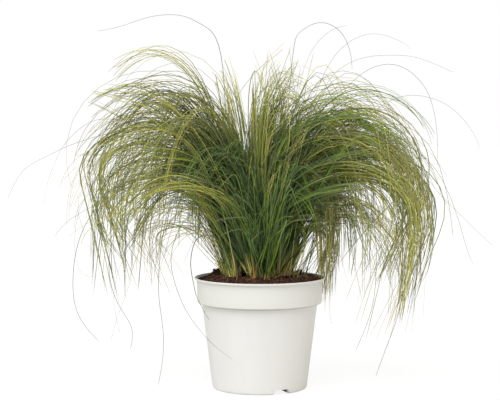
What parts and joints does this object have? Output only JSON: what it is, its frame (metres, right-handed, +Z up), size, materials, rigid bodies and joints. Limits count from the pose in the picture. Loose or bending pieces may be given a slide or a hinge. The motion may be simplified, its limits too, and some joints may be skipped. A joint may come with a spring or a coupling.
{
  "type": "potted ornamental grass",
  "caption": "Clump of fine grass that fans out, arches to both sides and hangs, in dark soil in a plain round white plant pot with a wide rim band.",
  "frame": {"origin": "on the pot's vertical axis, at the surface that the pot stands on", "axes": "+Z up, the grass fans out to +X and -X, and the front that the picture shows faces -Y"},
  "size_m": [0.612, 0.282, 0.4886],
  "materials": {
    "pot": "satin",
    "soil": "matte",
    "green_grass": "satin",
    "arching_grass": "satin",
    "dry_blades": "matte"
  },
  "bodies": {
    "root": {"back_inner_1": "green_grass", "back_inner_2": "green_grass", "back_outer_1": "green_grass", "back_outer_2": "green_grass", "crown_left_1": "green_grass", "crown_left_2": "green_grass", "crown_right_1": "green_grass", "crown_right_2": "green_grass", "crown_right_3": "green_grass", "front_inner_1": "green_grass", "front_inner_2": "green_grass", "front_inner_3": "green_grass", "front_outer_1": "green_grass", "front_outer_2": "green_grass", "left_arch_1": "arching_grass", "left_arch_2": "arching_grass", "left_arch_3": "arching_grass", "left_arch_4": "arching_grass", "left_low_1": "green_grass", "left_low_2": "green_grass", "left_low_3": "green_grass", "left_middle_1": "green_grass", "left_middle_2": "green_grass", "left_middle_3": "green_grass", "left_middle_4": "green_grass", "left_top_1": "arching_grass", "left_top_2": "arching_grass", "left_top_3": "arching_grass", "left_top_4": "arching_grass", "pot": "pot", "right_arch_1": "arching_grass", "right_arch_2": "arching_grass", "right_arch_3": "arching_grass", "right_arch_4": "arching_grass", "right_low_1": "green_grass", "right_low_2": "green_grass", "right_low_3": "green_grass", "right_middle_1": "green_grass", "right_middle_2": "green_grass", "right_middle_3": "green_grass", "right_middle_4": "green_grass", "right_top_1": "arching_grass", "right_top_2": "arching_grass", "right_top_3": "arching_grass", "right_top_4": "arching_grass", "rim_tuft": "arching_grass", "soil": "soil", "stray_before_pot": "dry_blades", "stray_far_left": "dry_blades", "stray_far_right": "dry_blades", "stray_high_right": "dry_blades", "stray_left_back": "dry_blades", "stray_left_curtain": "dry_blades", "stray_left_front": "dry_blades", "stray_right_front": "dry_blades", "stray_right_low": "dry_blades", "stray_top_left": "dry_blades", "stray_top_loop": "dry_blades", "stray_top_right": "dry_blades"}
  },
  "joints": []
}
